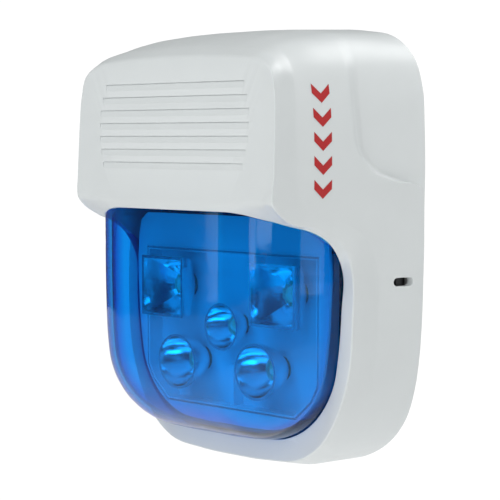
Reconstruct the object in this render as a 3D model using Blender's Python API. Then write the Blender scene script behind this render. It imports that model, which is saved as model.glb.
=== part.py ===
# Wall-mounted alarm siren with a blue strobe lens, louvred sounder hood and clip-on head.
# Metres, Z up. The wall is the plane Y = 0, the front faces -Y, X is to the right of
# someone facing the unit. The origin is the centre of the wall face.
import math

import bmesh
import bpy
import numpy as np
from mathutils import Matrix, Vector

for old in list(bpy.data.objects):
    bpy.data.objects.remove(old, do_unlink=True)

MM = 0.001

# ---------------------------------------------------------------- driving dimensions (mm)
WALL = 2.4                 # moulded wall of the cover
GAP = 0.35                 # clearance between touching pieces
FRONT_DEPTH = 62.2         # depth of the hood front at its lower edge
FRONT_LEAN = 0.045         # how much the hood front falls back per mm of height
FRONT_LOW_Z = 15.5
BEZEL_DEPTH = 31.3         # depth of the ring round the lower lens
LENS_DEPTH = 61.7
LENS_ROUND = 30.0          # large corner radius of the lens vault
LENS_WALL = 2.2
LOUVRE_Z = (54.9, 50.35, 45.8, 41.25, 36.7, 32.15, 27.6)
LOUVRE_HALF = (35.0, 36.5, 37.7, 37.7, 37.7, 36.7, 35.5)
LOUVRE_H = 2.3
DRIVER_Z = 41.3            # axis height of the sounder behind the louvres
DRIVER_R = 21.0
SLOT_Z = -12.0             # side release slots
SLOT_D = (4.5, 12.5)
SLOT_H = 3.0
LATCH_TRAVEL = 3.0
HEAD_TRAVEL = 50.0
BOARD_D = 20.0             # rear face depth of the main board
BOARD_T = 1.6
TRAY_FRONT = 33.5

# ---------------------------------------------------------------- contour stations (mm)
# Right half of each closed contour from top centre to bottom centre: X, depth, Z.
RIM = [(0, 0, 76.4), (18, 0, 76.1), (36, 0, 74.9), (48.9, 0, 72.2), (57.3, 0, 65.2), (61.4, 0, 54),
       (62.3, 0, 42.5), (62.6, 0, 34), (62.7, 0, 28), (62.7, 0, 24), (62.6, 0, 20), (62.5, 0, 13),
       (62.5, 0, 6), (62.5, 0, -1), (62.3, 0, -9), (61.8, 0, -25), (60.7, 0, -39), (58.8, 0, -50),
       (54.8, 0, -61.2), (47.6, 0, -70), (36.5, 0, -76.5), (18, 0, -79.2), (0, 0, -79.7)]
FOOT = [(0, 50, 70.6), (17, 50, 70.2), (31.5, 50, 69), (40.6, 50.2, 66.6), (46.4, 50.5, 60.6), (49, 51, 50.5),
        (49.9, 51.5, 42), (50.1, 51.5, 34), (50.2, 51.3, 28), (50.3, 51, 24), (50.5, 49.4, 17.6), (51.4, 44.6, 13),
        (53.6, 35.3, 9.6), (55.9, 25.4, 5.0), (57.4, 19.4, -7), (57.4, 19.0, -25), (56.6, 19.2, -39), (54.6, 19.5, -50),
        (50.6, 20, -60.6), (43.9, 20.8, -70), (34.5, 21.3, -76.2), (17, 21.3, -78.6), (0, 21.3, -79.1)]
FRONT = [(0, None, 65.2), (17, None, 64.9), (31.3, None, 64.2), (40.8, None, 62.9), (46.8, None, 59.4), (49.0, None, 51.5),
         (49.6, None, 42), (49.8, None, 34), (49.9, None, 28), (49.9, None, 24), (49.6, None, 15.9), (49.1, 52.4, 8.7),
         (52.1, 41.0, 6.9), (54.8, 32.8, 2.6), (57.0, 31.3, -8), (57.1, 31.3, -25), (56.1, 31.3, -39), (53.6, 31.3, -49),
         (49, 31.3, -59.5), (42.4, 31.3, -68.3), (33, 31.3, -74.3), (17, 31.3, -76.5), (0, 31.3, -76.9)]
LENS_X = [0, 8, 15, 20, 24.5, 28.5, 31.5, 34.3, 36.8, 39.2, 41.8, 46.5, 50.2, 52.0, 52.4, 52.0, 50.6, 48.3, 43.8, 36.5, 26.5, 13.5, 0]
LENS_Z = [12.4, 12.4, 12.4, 12.4, 12.4, 12.3, 12.0, 11.6, 11.0, 10.4, 9.7, 7.9, 5.9, 2.0, -8, -21, -36.5, -47.4, -55.6, -62.8, -67.6, -68.9, -68.9]
LIP_X = [0, 8, 15, 20, 24.8, 29.2, 33, 36.5, 40, 43.2, 46.2]
# depth of the terrace edge on the hood's flank, and how far the flank steps in behind it
EDGE_D = [27, 27, 27, 28, 29, 29.5, 29, 27.5, 22.5, 12.3, 2.2] + [1.6] * 12
EDGE_Z = [1.6, 1.8, 2.0, 1.9, 0.8, 0, -0.3, -1.2, -1.3, -1.6, 0.2] + [0.0] * 12
EDGE_IN = [0, 0, 0, 0.1, 0.7, 1.3, 1.6, 1.7, 1.7, 1.3, 0.1] + [0.0] * 12
CORE_X = [0, 8, 14.5, 18.5, 21, 22.3, 22.3, 22.3, 22.3, 22.3, 22.3, 22.3, 22.3, 22.3, 22.3, 22.3, 22.3, 22.0, 21.7, 21.2, 20, 11, 0]
CORE_Z = [11.4, 11.4, 11.4, 11.3, 11.1, 10.8, 10.4, 9.9, 9.4, 8.9, 8.3, 6.4, 4.2, 0.6, -8, -21, -34.5, -37.3, -38.2, -38.7, -39.1, -39.4, -39.4]


def front_depth(z):
    return FRONT_DEPTH - FRONT_LEAN * (z - FRONT_LOW_Z)


def curve(keys, sub):
    """Catmull-Rom through the right-half stations, then mirrored to a closed list of points."""
    keys = np.array(keys, float)
    n = len(keys)
    mirror = np.array([-1.0, 1, 1])
    ext = np.vstack([keys[1] * mirror, keys, keys[-2] * mirror])
    right = []
    for i in range(n - 1):
        p0, p1, p2, p3 = ext[i], ext[i + 1], ext[i + 2], ext[i + 3]
        for s in range(sub):
            u = s / sub
            # chord-length tangents keep the spline from overshooting at uneven spacing
            d1, d2, d0 = (np.linalg.norm(p2 - p1), np.linalg.norm(p3 - p2), np.linalg.norm(p1 - p0))
            m1 = ((p1 - p0) / d0 * d1 + (p2 - p1) / d1 * d0) / (d0 + d1) * d1
            m2 = ((p2 - p1) / d1 * d2 + (p3 - p2) / d2 * d1) / (d1 + d2) * d1
            right.append((2 * u**3 - 3 * u**2 + 1) * p1 + (u**3 - 2 * u**2 + u) * m1
                         + (-2 * u**3 + 3 * u**2) * p2 + (u**3 - u**2) * m2)
    right.append(keys[-1])
    right = np.array(right)
    left = right[-2:0:-1] * mirror
    return np.vstack([right, left])


def bulge(g):
    """Height of the vault, 1 at its crown and 0 at its edge; a little fuller than a circle."""
    return max(0.0, 1 - min(abs(g), 1.0) ** 2.2) ** (1 / 2.2)


def lens_depth_at(g):
    return BEZEL_DEPTH + (LENS_DEPTH - BEZEL_DEPTH) * bulge(g)


def lens_keys():
    out = []
    for i, (x, z) in enumerate(zip(LENS_X, LENS_Z)):
        if i >= 14:
            out.append((x, BEZEL_DEPTH, z))
        else:
            out.append((x, lens_depth_at(max(0.0, (x - 22.3) / 30.15)), z))
    return out


def front_keys():
    return [(x, front_depth(z) if d is None else d, z) for x, d, z in FRONT]


def lip_keys():
    """The line where the front surface starts to roll in to the lens opening."""
    lens, front = lens_keys(), front_keys()
    out = []
    for i in range(23):
        if i <= 10:
            z = 15.5 if i < 9 else 15.4
            out.append((LIP_X[i], front_depth(z) - (0.0 if i < 8 else 0.15), z))
        elif i <= 13:
            a, b = np.array(lens[i]), np.array(front[i])
            out.append(tuple(a + (b - a) * 0.5))
        else:
            a, b = np.array(lens[i]), np.array(front[i])
            step = b - a
            out.append(tuple(a + step * (0.9 / np.linalg.norm(step))))
    return out


def edge_keys(extra_d, extra_in):
    """Terrace edge on the flank (0, 0) or the foot of its small step."""
    out = []
    for i in range(23):
        r, q = np.array(RIM[i], float), np.array(FOOT[i], float)
        d = EDGE_D[i] - extra_d * min(1.0, EDGE_D[i] / 12.0) * (1.0 if EDGE_IN[i] > 0.05 else 0.25)
        k = d / q[1]
        p = r + (q - r) * k
        p[2] += EDGE_Z[i]
        inward = np.array([-p[0], 0, -(p[2] if abs(p[2]) > 55 else 0)])
        norm = np.linalg.norm(inward)
        if norm > 1e-6:
            p = p + inward / norm * EDGE_IN[i] * extra_in
        out.append(tuple(p))
    return out


def plan_normals(ring):
    """Inward normals of a closed contour, seen from the front."""
    nxt, prv = np.roll(ring, -1, 0), np.roll(ring, 1, 0)
    t = nxt - prv
    n = np.stack([-t[:, 2] * 0 + t[:, 2], np.zeros(len(ring)), -t[:, 0]], 1)
    n /= np.linalg.norm(n, axis=1)[:, None]
    centre = ring.mean(0)
    # contours run clockwise seen from the front, so one sign serves for all
    if ((centre - ring) * n).sum() < 0:
        n = -n
    return n


def to_world(p):
    return Vector((p[0] * MM, -p[1] * MM, p[2] * MM))


def material(name, colour, metallic=0.0, rough=0.5, alpha=1.0):
    mat = bpy.data.materials.new(name)
    mat.use_nodes = True
    node = mat.node_tree.nodes["Principled BSDF"]
    node.inputs["Base Color"].default_value = (*colour, 1)
    node.inputs["Metallic"].default_value = metallic
    node.inputs["Roughness"].default_value = rough
    node.inputs["Alpha"].default_value = alpha
    mat.diffuse_color = (*colour, alpha)
    return mat


def finish(obj, mat, sharp=35):
    obj.data.materials.clear()
    obj.data.materials.append(mat)
    if sharp is not None:
        obj.data.shade_smooth()
        obj.data.set_sharp_from_angle(angle=math.radians(sharp))
    return obj


def mesh_object(name, verts, faces, merge=1e-6):
    """Closed mesh from world-space vertices; merges repeated points and turns the faces outwards."""
    mesh = bpy.data.meshes.new(name)
    bm = bmesh.new()
    vs = [bm.verts.new(v) for v in verts]
    for f in faces:
        if len(set(f)) >= 3:
            try:
                bm.faces.new([vs[i] for i in f])
            except ValueError:
                pass
    bmesh.ops.remove_doubles(bm, verts=bm.verts, dist=merge)
    bmesh.ops.dissolve_degenerate(bm, dist=1e-7, edges=bm.edges)
    bmesh.ops.recalc_face_normals(bm, faces=bm.faces)
    bm.to_mesh(mesh)
    bm.free()
    obj = bpy.data.objects.new(name, mesh)
    bpy.context.scene.collection.objects.link(obj)
    return obj


def loft(name, rings, close_profile):
    """Rings of equal length joined in order; close_profile joins the last ring to the first."""
    n = len(rings[0])
    verts = [to_world(p) for ring in rings for p in ring]
    faces = []
    count = len(rings)
    for r in range(count if close_profile else count - 1):
        a, b = r * n, ((r + 1) % count) * n
        for i in range(n):
            j = (i + 1) % n
            faces.append((a + i, a + j, b + j, b + i))
    if not close_profile:
        faces.append(tuple(range(n)))
        faces.append(tuple(range((count - 1) * n, count * n)))
    return mesh_object(name, verts, faces)


def boolean(obj, other, operation="DIFFERENCE"):
    bpy.context.view_layer.update()
    mod = obj.modifiers.new("b", "BOOLEAN")
    mod.operation = operation
    mod.solver = "EXACT"
    mod.object = other
    graph = bpy.context.evaluated_depsgraph_get()
    mesh = bpy.data.meshes.new_from_object(obj.evaluated_get(graph))
    obj.modifiers.clear()
    obj.data = mesh
    bpy.data.objects.remove(other, do_unlink=True)
    return obj


def cleaned(obj, angle=0.3):
    bm = bmesh.new()
    bm.from_mesh(obj.data)
    bmesh.ops.remove_doubles(bm, verts=bm.verts, dist=2e-6)
    bmesh.ops.dissolve_limit(bm, angle_limit=math.radians(angle), verts=bm.verts, edges=bm.edges)
    bmesh.ops.triangulate(bm, faces=bm.faces)
    bm.to_mesh(obj.data)
    bm.free()
    return obj


def box(name, x, d, z):
    """Box from spans (low, high) in X, depth and Z, in mm."""
    verts = [to_world((x[i], d[j], z[k])) for i in (0, 1) for j in (0, 1) for k in (0, 1)]
    faces = [(0, 1, 3, 2), (4, 6, 7, 5), (0, 4, 5, 1), (2, 3, 7, 6), (0, 2, 6, 4), (1, 5, 7, 3)]
    return mesh_object(name, verts, faces)


def turned(name, profile, axis, centre, steps=24, phase=0.0):
    """Solid of revolution. profile: (radius, height along axis) pairs, closed on itself or to the axis."""
    cx, cd, cz = centre
    verts, faces = [], []
    m = len(profile)
    for s in range(steps):
        a = phase + 2 * math.pi * s / steps
        for r, h in profile:
            u, v = r * math.cos(a), r * math.sin(a)
            if axis == "D":
                p = (cx + u, cd + h, cz + v)
            elif axis == "X":
                p = (cx + h, cd + u, cz + v)
            else:
                p = (cx + u, cd + v, cz + h)
            verts.append(to_world(p))
    for s in range(steps):
        t = (s + 1) % steps
        for i in range(m):
            j = (i + 1) % m
            if profile[i][0] == 0 and profile[j][0] == 0:
                continue
            faces.append((s * m + i, s * m + j, t * m + j, t * m + i))
    return mesh_object(name, verts, faces)


def extruded(name, outline, d0, d1):
    """Flat outline of (x, z) points pushed from depth d0 to d1."""
    n = len(outline)
    verts = [to_world((x, d0, z)) for x, z in outline] + [to_world((x, d1, z)) for x, z in outline]
    faces = [tuple(range(n)), tuple(range(n, 2 * n))]
    faces += [(i, (i + 1) % n, n + (i + 1) % n, n + i) for i in range(n)]
    return mesh_object(name, verts, faces)


def rounded_rect(x0, x1, z0, z1, r, steps=4):
    out = []
    for cx, cz, a0 in ((x1 - r, z1 - r, 0), (x0 + r, z1 - r, 90), (x0 + r, z0 + r, 180), (x1 - r, z0 + r, 270)):
        for s in range(steps + 1):
            a = math.radians(a0 + 90 * s / steps)
            out.append((cx + r * math.cos(a), cz + r * math.sin(a)))
    return out


def cylinder(name, centre, r, d0, d1, steps=16):
    return turned(name, [(0, d0), (r, d0), (r, d1), (0, d1)], "D", (centre[0], 0, centre[1]), steps)


def set_origin(obj, point):
    """Moves the object's origin to a world point in metres without moving its mesh."""
    p = Vector(point)
    obj.data.transform(Matrix.Translation(-p))
    obj.location = p
    return obj


# ---------------------------------------------------------------- materials
M_COVER = material("cover_white", (0.78, 0.79, 0.80), rough=0.42)
M_LENS = material("lens_blue", (0.0, 0.14, 0.75), rough=0.08, alpha=0.45)
M_PLATE = material("plate_white", (0.72, 0.73, 0.73), rough=0.5)
M_TRAY = material("tray_white", (0.8, 0.82, 0.85), rough=0.4)
M_CHROME = material("reflector_chrome", (0.85, 0.86, 0.88), metallic=1, rough=0.12)
M_STEEL = material("steel", (0.6, 0.6, 0.62), metallic=1, rough=0.3)
M_BLACK = material("black_plastic", (0.03, 0.03, 0.035), rough=0.5)
M_BOARD = material("board_green", (0.02, 0.16, 0.06), rough=0.45)
M_RED = material("mark_red", (0.52, 0.006, 0.008), rough=0.4)
M_GASKET = material("gasket_rubber", (0.05, 0.05, 0.055), rough=0.8)
M_LED = material("led_clear", (0.95, 0.93, 0.75), rough=0.15)
M_CONE = material("diaphragm_paper", (0.12, 0.12, 0.13), rough=0.7)
M_MESH = material("mesh_cloth", (0.10, 0.10, 0.11), rough=0.85)
M_LATCH = material("latch_grey", (0.66, 0.67, 0.68), rough=0.5)
M_TERM = material("terminal_green", (0.03, 0.25, 0.12), rough=0.5)
M_BRASS = material("contact_brass", (0.75, 0.55, 0.2), metallic=1, rough=0.3)
M_CAP = material("capacitor_sleeve", (0.04, 0.05, 0.12), rough=0.4)
M_WIND = material("winding_copper", (0.7, 0.32, 0.1), metallic=1, rough=0.4)
M_LEAD_R = material("lead_red", (0.5, 0.02, 0.02), rough=0.5)
M_LEAD_B = material("lead_black", (0.02, 0.02, 0.02), rough=0.5)
M_WHITE = material("control_white", (0.85, 0.85, 0.83), rough=0.45)

# ---------------------------------------------------------------- cover
SUB = 1
rim, foot, front = curve(RIM, SUB), curve(FOOT, SUB), curve(front_keys(), SUB)
lens_ring, lip = curve(lens_keys(), SUB), curve(lip_keys(), SUB)
edge_out, edge_in = curve(edge_keys(0.0, 0.0), SUB), curve(edge_keys(3.0, 1.0), SUB)

N = len(rim)
HALF = 22 * SUB


def station(i):
    """Station number 0..22 of ring index i, the same on both halves."""
    return (i if i <= HALF else N - i) / SUB


def inset(ring, amount, back=0.0):
    out = ring + plan_normals(ring) * amount
    out[:, 1] -= back
    return out


def blend(i, a, b):
    return min(1.0, max(0.0, (station(i) - a) / (b - a)))


# inner wall: offset contours; by the shoulder the inner front ring follows the opening
rim_i = inset(rim, WALL)
rim_i[:, 1] = 0
foot_i = inset(foot, WALL + 0.3, 0.6)
lens_i = lens_ring.copy()
lens_i[:, 1] -= WALL
front_i = inset(front, WALL, WALL)
lip_i = lip.copy()
lip_i[:, 1] -= WALL
for i in range(N):
    s = station(i)
    if s <= 10:
        lens_i[i] = lens_ring[i] + np.array([0, -WALL, 0.4])
        lip_i[i] = (lens_i[i] + np.array([0.0, -0.15, 2.2]))
        lip_i[i][0] = lens_i[i][0] * (1 - 0.04 * s / 10)
        if s >= 9:
            front_i[i][2] += 2.4
    elif s <= 13:
        # the opening's edge faces down here, over the top of the lens
        side = math.copysign(1.0, lens_ring[i][0])
        k = s - 11
        behind = np.array([(-0.2 + 0.15 * k) * side, -1.0 - 0.4 * k, 2.0 - 0.4 * k])
        lens_i[i] = lens_ring[i] + behind
        a, b = lens_i[i], foot_i[i]
        lip_i[i] = a + (b - a) * 0.22
        front_i[i] = a + (b - a) * 0.45
    else:
        lip_i[i] = lens_i[i] + (front_i[i] - lens_i[i]) * 0.35
# halfway back the inner wall follows the crown of the hood's top
crown_i = foot_i + (rim_i - foot_i) * 0.46
for i in range(N):
    crown_i[i][2] += np.interp(station(i), range(6), (2.0, 2.0, 1.9, 1.4, 0.4, 0.0))
# the hood's top edge is rounded between the step foot and the front face
BROW = (1.3, 1.3, 1.2, 1.0, 0.6, 0.1)
brow = foot + (front - foot) * 0.62
for i in range(N):
    s = station(i)
    if s < 6:
        a = brow[i].copy()
        chord = front[i] - foot[i]
        out = np.array([a[0], 0.0, a[2] - 25.0])
        out -= chord * (out @ chord) / (chord @ chord)
        brow[i] = a + out / np.linalg.norm(out) * np.interp(s, range(6), BROW)
cover = loft("front_cover", [rim, edge_in, edge_out, foot, brow, front, lip, lens_ring, lens_i, lip_i, front_i, foot_i, crown_i, rim_i], True)
cleaned(cover, 0.05)

# bosses that carry the board and the sounder
BOSS_XZ = [(43.4, 24.0), (-43.4, 24.0)]
for x, z in BOSS_XZ:
    boolean(cover, cylinder("b", (x, z), 3.1, BOARD_D + BOARD_T + GAP, 60.6, 12), "UNION")
    boolean(cover, cylinder("c", (x, z), 1.6, BOARD_D, 32.0, 12))
DRIVER_BOSS = [(DRIVER_R * 1.0 * sx + 5.2 * sx, DRIVER_Z + sz * 13.0) for sx in (1, -1) for sz in (1, -1)]
for x, z in DRIVER_BOSS:
    boolean(cover, cylinder("b", (x, z), 2.6, 52.6, 60.4, 10), "UNION")
    boolean(cover, cylinder("c", (x, z), 1.55, 51.0, 57.5, 10))
# louvres: shallow ramps; at the top of each a slit leads up behind the lip to the sounder
for z, half in zip(LOUVRE_Z, LOUVRE_HALF):
    dz = LOUVRE_H / 2
    f = front_depth(z)
    ramp = [(f + 1.0, z - dz), (f + 1.0, z + dz), (f - 0.8, z + dz), (f, z - dz)]
    slit = [(f - 0.45, z + dz - 0.25), (f - 0.45, z + dz + 0.1), (f - WALL - 1.2, z + dz + 0.9), (f - WALL - 1.2, z + dz - 0.1), (f - 1.0, z + dz - 0.25)]
    for prof, ends in ((ramp, half), (slit, half - 0.6)):
        m = len(prof)
        verts = [to_world((-ends, d, h)) for d, h in prof] + [to_world((ends, d, h)) for d, h in prof]
        faces = [tuple(range(m)), tuple(range(m, 2 * m))] + [(i, (i + 1) % m, m + (i + 1) % m, m + i) for i in range(m)]
        boolean(cover, mesh_object("c", verts, faces))
# release slots in the flanks
for side in (1, -1):
    outline = []
    r = SLOT_H / 2
    for cd, a0 in ((SLOT_D[1] - r, -90), (SLOT_D[0] + r, 90)):
        for s in range(5):
            a = math.radians(a0 + 180 * s / 4)
            outline.append((cd + r * math.cos(a), SLOT_Z + r * math.sin(a)))
    m = len(outline)
    xs = (56.0 * side, 66.0 * side)
    verts = [to_world((x, d, z)) for x in xs for d, z in outline]
    faces = [tuple(range(m)), tuple(range(m, 2 * m))] + [(i, (i + 1) % m, m + (i + 1) % m, m + i) for i in range(m)]
    boolean(cover, mesh_object("c", verts, faces))
finish(cleaned(cover, 0.05), M_COVER, 28)

# ---------------------------------------------------------------- lens
LSUB = 1
core = curve([(x, LENS_DEPTH, z) for x, z in zip(CORE_X, CORE_Z)], LSUB)


def lens_surface(g_scale, depth_top, shrink):
    """Rings of the vault from the opening edge to the flat front."""
    rings = []
    for step in (0.0, 0.12, 0.28, 0.46, 0.68, 1.0):
        ring = []
        for i in range(N):
            s = station(i)
            edge, mid = lens_ring[i].copy(), core[i]
            g0 = 1.0 if s >= 14 else max(0.0, (abs(edge[0]) - 22.3) / 30.15)
            ang = math.acos(min(1.0, g0))
            a = ang + (math.pi / 2 - ang) * step
            g = math.cos(a)
            if g0 > 0.05:
                k = g / g0
                p = mid + (edge - mid) * k
            else:
                k = 1 - step
                p = mid + (edge - mid) * k
                g = g0 * k
            out = p - mid
            p = mid + out * (1 - shrink / LENS_ROUND)
            if g0 <= 0.05:
                p = mid + out
            p[1] = BEZEL_DEPTH + (depth_top - BEZEL_DEPTH) * bulge(g)
            ring.append(p)
        rings.append(np.array(ring))
    return rings


plan_in = plan_normals(lens_ring)
outer = lens_surface(1.0, LENS_DEPTH, GAP)
inner = lens_surface(1.0, LENS_DEPTH - LENS_WALL, GAP + LENS_WALL)
edge_o, edge_i = outer[0], inner[0]
for i in range(N):
    if station(i) <= 6:
        edge_o[i] = edge_o[i] + np.array([0, 0, -GAP])
        edge_i[i] = edge_o[i] + np.array([0, -LENS_WALL, 0])
b_ring, c_ring, d_ring, e_ring = edge_o.copy(), edge_o.copy(), edge_o.copy(), edge_i.copy()
for i in range(N):
    s = station(i)
    if s > 10:
        h, w = blend(i, 13, 14), blend(i, 14, 15)
    else:
        h, w = 0.0, 0.0
    b_ring[i] = edge_o[i] + np.array([0, -(WALL + 0.5) * h, 0])
    c_ring[i] = b_ring[i] - plan_in[i] * 3.0 * w
    d_ring[i] = c_ring[i] + np.array([0, -1.6 * h, 0])
    e_ring[i] = edge_i[i] + np.array([0, -(WALL + 2.1) * h, 0])
lens = loft("lens", list(reversed(outer)) + [b_ring, c_ring, d_ring, e_ring] + inner, False)
finish(cleaned(lens, 0.05), M_LENS, 40)

# ---------------------------------------------------------------- gasket, U-shaped, behind the lens flange
keep = [i for i in range(N) if station(i) >= 15]
path = [(lens_ring[i], plan_in[i]) for i in keep]
GASKET_D = (25.0, 26.4)
verts = []
for p, nrm in path:
    for off, d in ((-2.6, GASKET_D[0]), (-2.6, GASKET_D[1]), (-0.8, GASKET_D[1]), (-0.8, GASKET_D[0])):
        verts.append(to_world((p[0] + nrm[0] * off, d, p[2] + nrm[2] * off)))
faces = [(0, 1, 2, 3), tuple(range(len(verts) - 4, len(verts)))]
for i in range(len(path) - 1):
    for k in range(4):
        faces.append((i * 4 + k, i * 4 + (k + 1) % 4, (i + 1) * 4 + (k + 1) % 4, (i + 1) * 4 + k))
finish(mesh_object("lens_gasket", verts, faces), M_GASKET)

# ---------------------------------------------------------------- reflector tray
TRAY = [(-44.2, -2.5), (44.2, -2.5), (44.2, -47.5), (40.8, -53.4), (32.6, -60.6), (-32.6, -60.6), (-40.8, -53.4), (-44.2, -47.5)]
WELL = [(-42.5, -4.3), (42.5, -4.3), (42.5, -47.0), (39.4, -52.4), (31.9, -58.9), (-31.9, -58.9), (-39.4, -52.4), (-42.5, -47.0)]
tray = extruded("reflector_tray", TRAY, BOARD_D + BOARD_T + 2.0, TRAY_FRONT)
# the flange round its mouth fills the lens opening
rim_of_tray = inset(lens_ring, 3.5)
FLANGE = [(p[0], p[2]) for i, p in enumerate(rim_of_tray) if station(i) >= 14]
FLANGE = [(43.5, 9.5), (47.2, 6.5), (48.3, 1.5)] + FLANGE + [(-48.3, 1.5), (-47.2, 6.5), (-43.5, 9.5)]
boolean(tray, extruded("f", FLANGE, TRAY_FRONT - 1.3, TRAY_FRONT - 0.1), "UNION")
boolean(tray, extruded("c", WELL, TRAY_FRONT - 6.5, TRAY_FRONT + 1))
# ribs between the optics
boolean(tray, box("r", (-1.0, 1.0), (TRAY_FRONT - 7, TRAY_FRONT - 1.5), (-59.5, -44.0)), "UNION")
boolean(tray, box("r", (-12.0, 12.0), (TRAY_FRONT - 7, TRAY_FRONT - 0.8), (-10.5, -3.5)), "UNION")
# a fixing flange all round, on the board's front face
CUPS = [(28.0, -17.0, 11.0), (-28.0, -17.0, 11.0), (-20.0, -44.0, 10.0), (20.0, -44.0, 10.0), (0.0, -30.0, 8.5)]
for x, z, r in CUPS:
    boolean(tray, cylinder("c", (x, z), r * 0.42 + GAP, BOARD_D, TRAY_FRONT, 16))
TRAY_SCREWS = [(36.5, -30.0), (-36.5, -30.0)]
for x, z in TRAY_SCREWS:
    boolean(tray, cylinder("c", (x, z), 1.6, BOARD_D, TRAY_FRONT - 7.3, 12))
finish(cleaned(tray, 0.05), M_TRAY, 30)

# chrome cups, each a thin turned bowl standing in the tray
for k, (x, z, r) in enumerate(CUPS):
    base = TRAY_FRONT - 6.5 + GAP
    top = base + (13.0 if r > 9 else 10.0)
    lo = r * 0.42
    prof = [(lo, base), (lo + 1.4, base), (r * 0.72, base + (top - base) * 0.42), (r, top), (r - 1.0, top),
            (r * 0.72 - 1.2, base + (top - base) * 0.42), (lo - 0.6, base)]
    cup = turned("reflector_cup_%d" % (k + 1), prof, "D", (x, 0, z), 16 if k < 2 else 20)
    if k < 2:
        # the two upper bowls open out from a round foot to a square mouth
        for v in cup.data.vertices:
            vx, vz = v.co.x / MM - x, v.co.z / MM - z
            rr = math.hypot(vx, vz)
            share = min(1.0, max(0.0, (rr - lo) / (r - 1.0 - lo)))
            grow = 1 + (rr / max(abs(vx), abs(vz)) - 1) * share
            v.co.x, v.co.z = (x + vx * grow) * MM, (z + vz * grow) * MM
    finish(cup, M_CHROME, 15 if k < 2 else 40)

# light board with one lamp in each cup
led_board = extruded("light_board", rounded_rect(-33, 33, -56, -5, 4, 3), BOARD_D + BOARD_T + 0.4, BOARD_D + BOARD_T + 1.6)
finish(led_board, M_BOARD)
for k, (x, z, r) in enumerate(CUPS):
    d0 = BOARD_D + BOARD_T + 1.6 + 0.3
    top = TRAY_FRONT - 6.5 + 4.5
    rr = r * 0.42 - 1.0
    prof = [(0, d0), (rr, d0), (rr, top - rr * 0.8), (rr * 0.75, top - rr * 0.25), (0, top)]
    finish(turned("lamp_%d" % (k + 1), prof, "D", (x, 0, z), 12), M_LED, 40)

# ---------------------------------------------------------------- sounder behind the louvres
sounder = turned("sounder_frame", [(19.0, 52.4), (DRIVER_R, 52.4), (DRIVER_R, 49.6), (18.4, 46.0), (13.0, 38.0), (11.2, 38.0),
                                   (11.2, 40.0), (12.2, 40.0), (17.2, 47.4), (19.0, 50.4)], "D", (0, 0, DRIVER_Z), 28)
for k, (x, z) in enumerate(DRIVER_BOSS):
    ear = extruded("e", [(x * 0.62, z - 4.5), (x + math.copysign(2.6, x), z - 3.2), (x + math.copysign(2.6, x), z + 3.2), (x * 0.62, z + 4.5)], 49.8, 52.2)
    boolean(ear, cylinder("c", (0, DRIVER_Z), 19.6, 48, 54, 28))
    boolean(sounder, ear, "UNION")
for x, z in DRIVER_BOSS:
    boolean(sounder, cylinder("c", (x, z), 1.6, 45, 56, 10))
finish(cleaned(sounder, 0.05), M_BLACK, 30)
finish(turned("sounder_magnet", [(0, 29.0), (14.5, 29.0), (15.2, 29.8), (15.2, 36.8), (14.5, 37.6), (0, 37.6)], "D", (0, 0, DRIVER_Z), 28), M_STEEL, 30)
finish(turned("sounder_cone", [(0, 46.4), (6.2, 47.9), (16.0, 51.2), (17.4, 52.6), (18.6, 51.4), (18.6, 50.9), (17.4, 52.0),
                               (16.2, 50.4), (6.6, 43.0), (6.6, 38.2), (5.8, 38.2), (5.8, 44.2), (0, 44.2)], "D", (0, 0, DRIVER_Z), 28), M_CONE, 35)
for k, (x, z) in enumerate(DRIVER_BOSS):
    prof = [(0, 49.4), (2.5, 49.4), (2.5, 47.8), (1.7, 47.2), (0, 47.2)]
    prof = [(0, 47.0), (1.7, 47.0), (2.5, 47.6), (2.5, 49.5), (1.2, 49.5), (1.2, 56.0), (0, 56.0)]
    finish(turned("sounder_screw_%d" % (k + 1), prof, "D", (x, 0, z), 10), M_STEEL, 30)
mesh_sheet = extruded("louvre_screen", rounded_rect(-20.5, 20.5, 24.5, 57.8, 3, 3), 53.4, 54.0)
finish(mesh_sheet, M_MESH)

# ---------------------------------------------------------------- main board and its parts
board_ring = inset(foot, WALL + 1.9)
board = extruded("main_board", [(p[0], p[2]) for p in board_ring], BOARD_D, BOARD_D + BOARD_T)
for x, z in BOSS_XZ + TRAY_SCREWS:
    boolean(board, cylinder("c", (x, z), 1.7, BOARD_D - 2, BOARD_D + 4, 12))
finish(cleaned(board, 0.05), M_BOARD)
FB = BOARD_D + BOARD_T + 0.3     # front side of the board
for k, (x, z) in enumerate(BOSS_XZ + TRAY_SCREWS):
    tip = 30.0 if z > 0 else 25.8
    prof = [(0, BOARD_D - 2.6), (2.2, BOARD_D - 2.6), (2.9, BOARD_D - 1.8), (2.9, BOARD_D - 0.3), (1.3, BOARD_D - 0.3), (1.3, tip), (0, tip)]
    finish(turned("board_screw_%d" % (k + 1), prof, "D", (x, 0, z), 12), M_STEEL, 30)
for k, (x, z, r, h) in enumerate([(-35.0, 30.0, 5.0, 16.0), (-35.0, 43.0, 5.0, 16.0)]):
    prof = [(0, FB), (r, FB), (r, FB + 1.5), (r - 0.4, FB + 2.0), (r, FB + 2.5), (r, FB + h - 0.6), (r - 0.6, FB + h), (0, FB + h)]
    finish(turned("capacitor_%d" % (k + 1), prof, "D", (x, 0, z), 16), M_CAP, 30)
coil_core = turned("step_up_coil", [(2.6, FB), (7.0, FB), (7.0, FB + 1.6), (5.4, FB + 2.0), (5.4, FB + 8.0), (7.0, FB + 8.4), (7.0, FB + 10.0), (2.6, FB + 10.0)],
                   "D", (33.5, 0, 29.0), 16)
finish(coil_core, M_WIND, 30)
finish(box("driver_chip", (-6.0, 6.0), (FB, FB + 2.2), (8.0, 18.0)), M_BLACK)

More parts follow.
